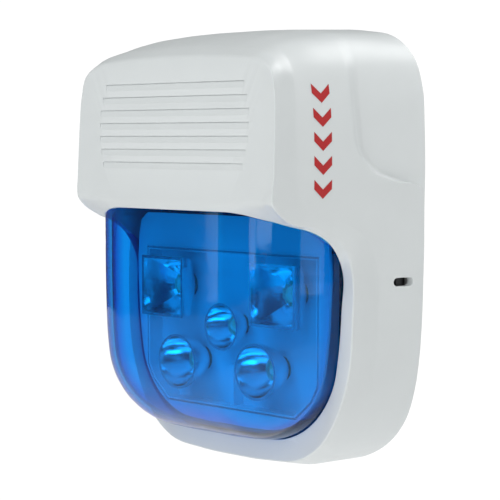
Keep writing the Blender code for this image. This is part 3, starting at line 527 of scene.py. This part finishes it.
def lamp_material():
    n = Nodes("mat_lamp")
    n.link(n.ramp(n.noise(400), [(0.3, (0.85, 0.80, 0.45)), (0.7, (0.95, 0.93, 0.78))]), n.bsdf.inputs["Base Color"])
    n.link(n.range(n.noise(900), 0.08, 0.2), n.bsdf.inputs["Roughness"])
    return n.mat


M_COVER = plastic("mat_cover", (0.618, 0.650, 0.652), 0.40)
M_TRAY = plastic("mat_tray", (0.82, 0.88, 0.92), 0.36)
M_PLATE = plastic("mat_plate", (0.60, 0.61, 0.615), 0.5)
M_LATCH = plastic("mat_latch", (0.035, 0.035, 0.037), 0.5)
M_BLACK = plastic("mat_black", (0.022, 0.022, 0.025), 0.45)
M_GREEN = plastic("mat_green", (0.02, 0.2, 0.09), 0.45)
M_WHITE = plastic("mat_control", (0.75, 0.75, 0.72), 0.42)
M_RUBBER = plastic("mat_rubber", (0.03, 0.03, 0.033), 0.75, 2.0)
M_CONE = plastic("mat_cone", (0.07, 0.07, 0.075), 0.8, 4.0)
M_CAP = plastic("mat_capacitor", (0.03, 0.04, 0.10), 0.35)
M_RED_WIRE = plastic("mat_wire_red", (0.42, 0.012, 0.012), 0.45)
M_BLACK_WIRE = plastic("mat_wire_black", (0.015, 0.015, 0.015), 0.45)
M_STEEL = metal("mat_steel", (0.62, 0.62, 0.64), 0.28, (1, 6, 1))
M_BRASS = metal("mat_brass", (0.78, 0.58, 0.25), 0.3)
M_COPPER = metal("mat_copper", (0.75, 0.36, 0.14), 0.35, (1, 18, 1), 0.5)
M_CHROME = chrome()
M_LENS = lens_material()
M_BOARD = board_material()
M_SCREEN = cloth_material()
M_MARK = mark_material()
M_LAMP = lamp_material()

# =====================================================================================
# Cover
# =====================================================================================
SUB = 8
rim, foot, front = curve(RIM, SUB), curve(FOOT, SUB), curve(front_keys(), SUB)
lens_ring, lip = curve(lens_keys(), SUB), curve(lip_keys(), SUB)
edge_out, edge_in = curve(edge_keys(0.0, 0.0), SUB), curve(edge_keys(3.6, 1.3), SUB)
N, HALF = len(rim), 22 * SUB


def station(i):
    return (i if i <= HALF else N - i) / SUB


def blend(i, a, b):
    return min(1.0, max(0.0, (station(i) - a) / (b - a)))


def ease(v):
    return v * v * (3 - 2 * v)


def inset(ring, amount, back=0.0):
    out = ring + plan_normals(ring) * amount
    out[:, 1] -= back
    return out


rim_i = inset(rim, WALL)
rim_i[:, 1] = 0
foot_i = inset(foot, WALL + 0.3, 0.6)
lens_i = lens_ring.copy()
lens_i[:, 1] -= WALL
front_i = inset(front, WALL, WALL)
lip_i = lip.copy()
lip_i[:, 1] -= WALL
for i in range(N):
    s = station(i)
    if s <= 10:
        lens_i[i] = lens_ring[i] + np.array([0, -WALL, 0.4])
        lip_i[i] = lens_i[i] + np.array([0.0, -0.15, 2.2])
        lip_i[i][0] = lens_i[i][0] * (1 - 0.04 * s / 10)
        front_i[i][2] += 2.4 * blend(i, 8, 9)
    elif s <= 13:
        side = math.copysign(1.0, lens_ring[i][0])
        k = s - 11
        behind = np.array([(-0.2 + 0.15 * k) * side, -1.0 - 0.4 * k, 2.0 - 0.4 * k])
        lens_i[i] = lens_ring[i] + behind
        a, b = lens_i[i], foot_i[i]
        lip_i[i] = a + (b - a) * 0.22
        front_i[i] = a + (b - a) * 0.45
    else:
        lip_i[i] = lens_i[i] + (front_i[i] - lens_i[i]) * 0.35

# crown of the top between terrace and step, and the rounded brow of the hood
crown_i = foot_i + (rim_i - foot_i) * 0.46
BROW = (1.3, 1.3, 1.2, 1.0, 0.6, 0.1)
brow = foot + (front - foot) * 0.62
swell = foot + (edge_out - foot) * 0.4
for i in range(N):
    s = station(i)
    crown_i[i][2] += np.interp(s, range(6), (2.0, 2.0, 1.9, 1.4, 0.4, 0.0))
    if s < 6:
        chord = front[i] - foot[i]
        out = np.array([brow[i][0], 0.0, brow[i][2] - 25.0])
        out -= chord * (out @ chord) / (chord @ chord)
        brow[i] = brow[i] + out / np.linalg.norm(out) * np.interp(s, range(6), BROW)
        chord = edge_out[i] - foot[i]
        out = np.array([swell[i][0], 0.0, swell[i][2] - 25.0])
        out -= chord * (out @ chord) / (chord @ chord)
        swell[i] = swell[i] + out / np.linalg.norm(out) * np.interp(s, (0, 3, 4, 5.5), (0.5, 0.9, 0.6, 0.0))

# outer profile with a rounding at each contour (mm cut back on either side)
ROUND = [
    (rim, lambda s: 0.5, 3),
    (edge_in, lambda s: 2.0 if s < 9.5 else 0.3, 4),
    (edge_out, lambda s: 1.1 if s < 9.5 else 0.3, 4),
    (swell, lambda s: 6.0, 5),
    (foot, lambda s: 1.6 if s < 3 else 0.9, 5),
    (brow, lambda s: 3.0 if s < 6 else 1.5, 4),
    (front, lambda s: 1.0 - 0.55 * min(1.0, max(0.0, s - 3.5)) if s < 10 else (0.45 + 1.2 * math.sin(math.pi * min(1, (s - 10) / 4)) if s < 14 else 0.6), 4),
    (lip, lambda s: 2.2 if s < 10.5 else 0.6, 5),
    (lens_ring, lambda s: 0.45, 3),
]
BETWEEN = 2   # extra loops on each plain stretch


def profile_rings():
    seq = [r for r, _, _ in ROUND]
    seq_full = [rim_i] + seq + [lens_i]
    count_rings = []
    for k, (ring, cut, steps) in enumerate(ROUND):
        prev_r, next_r = seq_full[k], seq_full[k + 2]
        cuts = np.array([cut(station(i)) for i in range(N)])
        dp = np.linalg.norm(prev_r - ring, axis=1)
        dn = np.linalg.norm(next_r - ring, axis=1)
        c = np.minimum(cuts, np.minimum(dp, dn) * 0.42)
        a = ring + (prev_r - ring) * (c / np.maximum(dp, 1e-9))[:, None]
        b = ring + (next_r - ring) * (c / np.maximum(dn, 1e-9))[:, None]
        arc = []
        for j in range(steps + 1):
            u = j / steps
            arc.append(a * (1 - u) ** 2 + ring * 2 * u * (1 - u) + b * u**2)
        count_rings.append(arc)
    rings = list(count_rings[0])
    for k in range(1, len(ROUND)):
        start, end = rings[-1], count_rings[k][0]
        for j in range(1, BETWEEN + 1):
            u = j / (BETWEEN + 1)
            rings.append(start * (1 - u) + end * u)
        rings += count_rings[k]
    return rings


outer_rings = profile_rings()
inner_rings = [lens_i, lip_i, front_i, foot_i, crown_i, rim_i]
cover = loft("cover_shell", outer_rings + inner_rings, True)
for v in cover.data.vertices:
    for ax in range(3):
        v.co[ax] = min(max(v.co[ax], LO[ax]), HI[ax])

# louvres: shallow ramps; at the top of each a slit leads up behind the lip, out of sight
for z, half in zip(LOUVRE_Z, LOUVRE_HALF):
    dz = LOUVRE_H / 2
    f = front_depth(z)
    ramp = [(f + 1.0, z - dz), (f + 1.0, z + dz), (f - 0.42, z + dz), (f - 0.40, z + dz - 0.10), (f + 0.01, z - dz)]
    slit = [(f - 0.24, z + dz - 0.03), (f - 0.24, z + dz + 0.08), (f - WALL - 1.2, z + dz + 0.9), (f - WALL - 1.2, z + dz + 0.3), (f - 0.55, z + dz - 0.03)]
    for prof, ends in ((ramp, half), (slit, half - 0.6)):
        m = len(prof)
        verts = [to_world((-ends, d, h)) for d, h in prof] + [to_world((ends, d, h)) for d, h in prof]
        faces = [tuple(range(m)), tuple(range(m, 2 * m))] + [(i, (i + 1) % m, m + (i + 1) % m, m + i) for i in range(m)]
        boolean(cover, mesh_object("cut", verts, faces))
for side in (1, -1):
    outline = []
    r = SLOT_H / 2
    for cd, a0 in ((SLOT_D[1] - r, -90), (SLOT_D[0] + r, 90)):
        for s in range(13):
            a = math.radians(a0 + 180 * s / 12)
            outline.append((cd + r * math.cos(a), SLOT_Z + r * math.sin(a)))
    m = len(outline)
    verts = [to_world((x, d, z)) for x in (56.0 * side, 66.0 * side) for d, z in outline]
    faces = [tuple(range(m)), tuple(range(m, 2 * m))] + [(i, (i + 1) % m, m + (i + 1) % m, m + i) for i in range(m)]
    boolean(cover, mesh_object("cut", verts, faces))
shade(cover, M_COVER, 32)
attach(cover, "head")
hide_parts("front_cover")

bm = bmesh.new()
bm.from_mesh(cover.data)
cover_tree = BVHTree.FromBMesh(bm)
bm.free()

# =====================================================================================
# Lens
# =====================================================================================
core = curve([(x, LENS_DEPTH, z) for x, z in zip(CORE_X, CORE_Z)], SUB)
STEPS = [0.0, 0.04, 0.09, 0.15, 0.22, 0.3, 0.38, 0.46, 0.54, 0.62, 0.7, 0.78, 0.86, 0.93, 1.0]


def lens_surface(depth_top, shrink):
    rings = []
    for step in STEPS:
        ring = []
        for i in range(N):
            s = station(i)
            edge, mid = lens_ring[i].copy(), core[i]
            g0 = 1.0 if s >= 14 else max(0.0, (abs(edge[0]) - 22.3) / 30.15)
            ang = math.acos(min(1.0, g0))
            g = math.cos(ang + (math.pi / 2 - ang) * step)
            if g0 > 0.05:
                p = mid + (edge - mid) * (g / g0)
            else:
                p = mid + (edge - mid) * (1 - step)
                g = g0 * (1 - step)
            out = p - mid
            p = mid + out * ((1 - shrink / LENS_ROUND) if g0 > 0.05 else 1.0)
            p[1] = BEZEL_DEPTH + (depth_top - BEZEL_DEPTH) * bulge(g)
            ring.append(p)
        rings.append(np.array(ring))
    return rings


plan_in = plan_normals(lens_ring)
outer = lens_surface(LENS_DEPTH, GAP)
inner = lens_surface(LENS_DEPTH - LENS_WALL, GAP + LENS_WALL)
edge_o, edge_i = outer[0], inner[0]
for i in range(N):
    if station(i) <= 6:
        edge_o[i] = edge_o[i] + np.array([0, 0, -GAP])
        edge_i[i] = edge_o[i] + np.array([0, -LENS_WALL, 0])
b_ring, c_ring, d_ring, e_ring = edge_o.copy(), edge_o.copy(), edge_o.copy(), edge_i.copy()
for i in range(N):
    s = station(i)
    h, w = (blend(i, 13, 14), blend(i, 14, 15)) if s > 10 else (0.0, 0.0)
    b_ring[i] = edge_o[i] + np.array([0, -(WALL + 0.5) * h, 0])
    c_ring[i] = b_ring[i] - plan_in[i] * 3.0 * w
    d_ring[i] = c_ring[i] + np.array([0, -1.6 * h, 0])
    e_ring[i] = edge_i[i] + np.array([0, -(WALL + 2.1) * h, 0])
lens = loft("strobe_lens", list(reversed(outer)) + [b_ring, c_ring, d_ring, e_ring] + inner, False)
for v in lens.data.vertices:
    for ax in range(3):
        v.co[ax] = min(max(v.co[ax], LO[ax]), HI[ax])
shade(lens, M_LENS, 40)
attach(lens, "head")
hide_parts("lens")

# =====================================================================================
# Optics behind the lens
# =====================================================================================
TRAY_FRONT = 33.5
CUPS = [(28.0, -17.0, 11.0), (-28.0, -17.0, 11.0), (-20.0, -44.0, 10.0), (20.0, -44.0, 10.0), (0.0, -30.0, 8.5)]
TRAY = [(-44.2, -2.5), (44.2, -2.5), (44.2, -47.5), (40.8, -53.4), (32.6, -60.6), (-32.6, -60.6), (-40.8, -53.4), (-44.2, -47.5)]
WELL = [(-42.5, -4.3), (42.5, -4.3), (42.5, -47.0), (39.4, -52.4), (31.9, -58.9), (-31.9, -58.9), (-39.4, -52.4), (-42.5, -47.0)]
tray = extruded("optic_tray", TRAY, 23.6, TRAY_FRONT)
rim_of_tray = inset(lens_ring, 3.5)
FLANGE = [(p[0], p[2]) for i, p in enumerate(rim_of_tray) if station(i) >= 14]
FLANGE = [(43.5, 9.5), (47.2, 6.5), (48.3, 1.5)] + FLANGE + [(-48.3, 1.5), (-47.2, 6.5), (-43.5, 9.5)]
boolean(tray, extruded("f", FLANGE, TRAY_FRONT - 1.3, TRAY_FRONT - 0.1), "UNION")
for grow, floor_d in ((1.25, TRAY_FRONT - 2.2), (0.55, TRAY_FRONT + 0.2)):
    ring_2d = [(x * (1 + grow / 42.5), (z + 31.6) * (1 + grow / 27.3) - 31.6) for x, z in WELL]
    if floor_d < TRAY_FRONT:
        boolean(tray, extruded("groove", ring_2d, floor_d, TRAY_FRONT + 1))
    else:
        boolean(tray, extruded("ridge", ring_2d, TRAY_FRONT - 3.0, TRAY_FRONT), "UNION")
boolean(tray, extruded("c", WELL, TRAY_FRONT - 6.5, TRAY_FRONT + 1))
for k, (x, z, r) in enumerate(CUPS):
    boolean(tray, extruded("cut", [(x + (r * 0.42 + GAP) * math.cos(a), z + (r * 0.42 + GAP) * math.sin(a)) for a in np.linspace(0, 2 * math.pi, 49)[:-1]], 20, 34))
for x0, x1, z0, z1, top in ((-1.0, 1.0, -59.5, -44.0, 32.0), (-12.0, 12.0, -10.5, -3.5, 32.7)):
    boolean(tray, box_piece("r", (x0, x1), (TRAY_FRONT - 7, top), (z0, z1)), "UNION")
bevelled(tray, 0.35, 3, 40)
shade(tray, M_TRAY, 35)
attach(tray, "head")
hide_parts("reflector_tray")

for k, (x, z, r) in enumerate(CUPS):
    base = TRAY_FRONT - 6.5 + GAP
    top = base + (13.0 if r > 9 else 10.0)
    lo = r * 0.42
    rows = 8
    inside = []
    outside = []
    for j in range(rows + 1):
        u = j / rows
        rr = lo + (r - lo) * (1 - (1 - u) ** 1.9)
        h = base + (top - base) * u
        outside.append((rr, h))
        inside.append((rr - 1.0, h))
    prof = [(lo - 0.6, base), *[(a, b) for a, b in outside], *reversed([(max(a, lo - 0.6), b) for a, b in inside[1:]])]
    cup = turned("reflector_bowl_%d" % (k + 1), prof, (x, 0, z), 96 if k > 1 else 16, 0.0)
    if k < 2:
        # the two upper bowls open out from a round foot to a square mouth
        for v in cup.data.vertices:
            vx, vz = v.co.x / MM - x, v.co.z / MM - z
            rr = math.hypot(vx, vz)
            share = min(1.0, max(0.0, (rr - lo) / (r - 1.0 - lo)))
            grow = 1 + (rr / max(abs(vx), abs(vz)) - 1) * share
            v.co.x, v.co.z = (x + vx * grow) * MM, (z + vz * grow) * MM
    shade(cup, M_CHROME, 8 if k < 2 else 40)
    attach(cup, "head")
    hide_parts("reflector_cup_%d" % (k + 1))

# =====================================================================================
# Red marks, laid on the flank as thin printed film
# =====================================================================================
def on_flank(d, z):
    hit = cover_tree.ray_cast(to_world((90, d, z)), Vector((-1, 0, 0)))
    return hit[0], hit[1]


MARK_Z = (51.8, 43.9, 36.0, 28.1, 20.2)
for k, zc in enumerate(MARK_Z):
    half_w, half_h, arm = 3.4, 3.15, 3.1
    cols = 16
    verts, faces = [], []
    for c in range(cols + 1):
        w = -half_w + 2 * half_w * c / cols
        drop = (half_h * 2 - arm) * (1 - abs(w) / half_w)
        top = half_h - drop
        for h in (top, top - arm / 2, top - arm):
            p, nrm = on_flank(41.2 - w, zc + h)
            if nrm.x < 0:
                nrm = -nrm
            verts.append(p + nrm * 0.00006)
    for c in range(cols):
        for r_ in range(2):
            a = c * 3 + r_
            faces.append((a, a + 1, a + 4, a + 3))
    mark = mesh_object("red_mark_%d" % (k + 1), verts, faces)
    solid = mark.modifiers.new("thick", "SOLIDIFY")
    solid.thickness, solid.offset = 0.00004, 1.0
    apply_modifiers(mark)
    shade(mark, M_MARK, 40, False)
    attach(mark, "head")
    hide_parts("flank_mark_%d" % (k + 1))

# compression springs behind the two latches
for side, word in ((1, "right"), (-1, "left")):
    turns, wire, coil_r, seg, ring_n = 5, 0.33, 1.9, 26, 10
    total = turns * seg
    path_pts = [Vector((side * (35.65 + 12.3 * s / total), 6.8 + coil_r * math.cos(2 * math.pi * s / seg), SLOT_Z + coil_r * math.sin(2 * math.pi * s / seg))) for s in range(total + 1)]
    verts, faces = [], []
    for s, p in enumerate(path_pts):
        t_dir = (path_pts[min(s + 1, total)] - path_pts[max(s - 1, 0)]).normalized()
        a1 = t_dir.cross(Vector((side, 0, 0))).normalized()
        a2 = t_dir.cross(a1).normalized()
        for k in range(ring_n):
            b = 2 * math.pi * k / ring_n
            verts.append(to_world(tuple(p + a1 * (wire * math.cos(b)) + a2 * (wire * math.sin(b)))))
    for s in range(total):
        for k in range(ring_n):
            faces.append((s * ring_n + k, s * ring_n + (k + 1) % ring_n, (s + 1) * ring_n + (k + 1) % ring_n, (s + 1) * ring_n + k))
    faces.append(tuple(range(ring_n)))
    faces.append(tuple(total * ring_n + k for k in range(ring_n)))
    coil = mesh_object("press_spring_" + word, verts, faces)
    shade(coil, M_STEEL, 50)
    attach(coil, "wall_unit")
    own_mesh(coil)
    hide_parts("latch_spring_" + word)

# =====================================================================================
# Carried-over CAD nodes
# =====================================================================================
LOOKS = {
    "lens_gasket": M_RUBBER, "light_board": M_BOARD, "main_board": M_BOARD, "sounder_frame": M_BLACK,
    "sounder_magnet": M_STEEL, "sounder_cone": M_CONE, "louvre_screen": M_SCREEN, "sounder_lead_a": M_RED_WIRE,
    "sounder_lead_b": M_BLACK_WIRE, "capacitor_1": M_CAP, "capacitor_2": M_CAP, "step_up_coil": M_COPPER,
    "driver_chip": M_BLACK, "contact_header": M_BRASS, "tone_selector_body": M_BLACK, "tone_selector_knob": M_WHITE,
    "volume_trimmer_body": M_GREEN, "volume_trimmer_rotor": M_WHITE, "tamper_switch_body": M_BLACK,
    "tamper_plunger": M_WHITE, "terminal_block": M_GREEN, "wall_plate": M_PLATE, "latch_left": M_LATCH,
    "latch_right": M_LATCH, "latch_spring_left": M_STEEL, "latch_spring_right": M_STEEL,
}
for name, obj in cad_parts.items():
    mat = LOOKS.get(name)
    if mat is None:
        mat = M_LAMP if name.startswith("lamp_") else M_STEEL
    if obj.type == "MESH":
        if len(obj.material_slots) == 0:
            obj.data.materials.append(mat)
        for sl in obj.material_slots:
            sl.material = mat

# =====================================================================================
# Studio
# =====================================================================================
LIGHT = {"world": 0.12, "top": 14.4, "front": 3.2, "high": 8.8, "key": 5.8, "right": 3.9, "strip": 0.5, "floor": 0.4}
scene = bpy.context.scene
scene.view_settings.view_transform = "Standard"
scene.view_settings.look = "None"

world = bpy.data.worlds.new("studio") if scene.world is None else scene.world
scene.world = world
world.use_nodes = True
wt = world.node_tree
for nd in list(wt.nodes):
    wt.nodes.remove(nd)
out = wt.nodes.new("ShaderNodeOutputWorld")
lit = wt.nodes.new("ShaderNodeBackground")
lit.inputs["Color"].default_value = (0.96, 0.985, 1.0, 1)
lit.inputs["Strength"].default_value = LIGHT["world"]
seen = wt.nodes.new("ShaderNodeBackground")
seen.inputs["Color"].default_value = (1, 1, 1, 1)
seen.inputs["Strength"].default_value = 1.05
path = wt.nodes.new("ShaderNodeLightPath")
mixw = wt.nodes.new("ShaderNodeMixShader")
wt.links.new(path.outputs["Is Camera Ray"], mixw.inputs["Fac"])
wt.links.new(lit.outputs["Background"], mixw.inputs[1])
wt.links.new(seen.outputs["Background"], mixw.inputs[2])
wt.links.new(mixw.outputs["Shader"], out.inputs["Surface"])

# floor well below the unit, as pale as the studio round it
fm = bpy.data.materials.new("studio_floor")
fm.use_nodes = True
ft = fm.node_tree
fb = ft.nodes["Principled BSDF"]
fb.inputs["Base Color"].default_value = (0.8, 0.8, 0.8, 1)
fb.inputs["Roughness"].default_value = 0.9
fb.inputs["Emission Color"].default_value = (1, 1, 1, 1)
fb.inputs["Emission Strength"].default_value = LIGHT["floor"]
glow = ft.nodes.new("ShaderNodeEmission")
glow.inputs["Strength"].default_value = 1.05
fpath = ft.nodes.new("ShaderNodeLightPath")
fmix = ft.nodes.new("ShaderNodeMixShader")
ft.links.new(fpath.outputs["Is Camera Ray"], fmix.inputs["Fac"])
ft.links.new(fb.outputs["BSDF"], fmix.inputs[1])
ft.links.new(glow.outputs["Emission"], fmix.inputs[2])
ft.links.new(fmix.outputs["Shader"], ft.nodes["Material Output"].inputs["Surface"])
bm = bmesh.new()
bmesh.ops.create_circle(bm, cap_ends=True, radius=4.0, segments=96)
me = bpy.data.meshes.new("studio_floor")
bm.to_mesh(me)
bm.free()
floor = link(bpy.data.objects.new("studio_floor", me))
floor.location = (0, 0, -0.45)
floor.data.materials.append(fm)


def area(name, loc, aim, size, energy, colour=(1, 1, 1), size_y=None):
    light = bpy.data.lights.new(name, "AREA")
    light.energy = energy
    light.color = colour
    light.size = size
    if size_y:
        light.shape = "RECTANGLE"
        light.size_y = size_y
    obj = link(bpy.data.objects.new(name, light))
    obj.location = loc
    d = Vector(aim) - Vector(loc)
    obj.rotation_euler = d.to_track_quat("-Z", "Y").to_euler()
    return obj


C = Vector((0, -0.03, 0))
area("top_softbox", (0.5, 0.9, 1.1), C, 0.8, LIGHT["top"])
area("front_softbox", (0.235, -1.48, 0.55), Vector((0, 0, 0.0)), 0.3, LIGHT["front"], size_y=1.5)
area("high_softbox", (-0.12, -1.0, 1.15), C, 0.6, LIGHT["high"])
area("key_softbox", (0.62, -1.27, 0.42), C, 0.62, LIGHT["key"], size_y=1.1)
area("right_softbox", (1.35, 0.12, 0.35), C, 0.9, LIGHT["right"], size_y=1.2)
area("strip_softbox", (-1.02, -1.12, 0.31), C, 0.12, LIGHT["strip"], size_y=1.0)

cam_data = bpy.data.cameras.new("camera")
cam_data.lens = 118.44
cam_data.sensor_width = 36.0
cam_data.clip_start, cam_data.clip_end = 0.01, 20
cam = link(bpy.data.objects.new("camera", cam_data))
cam.location = (0.41968, -0.44236, 0.0368)
az, el = math.radians(45), math.atan((250 - 139) / 1645.0)
look = Vector((-math.sin(az) * math.cos(el), math.cos(az) * math.cos(el), -math.sin(el)))
cam.rotation_euler = look.to_track_quat("-Z", "Y").to_euler()
scene.camera = cam
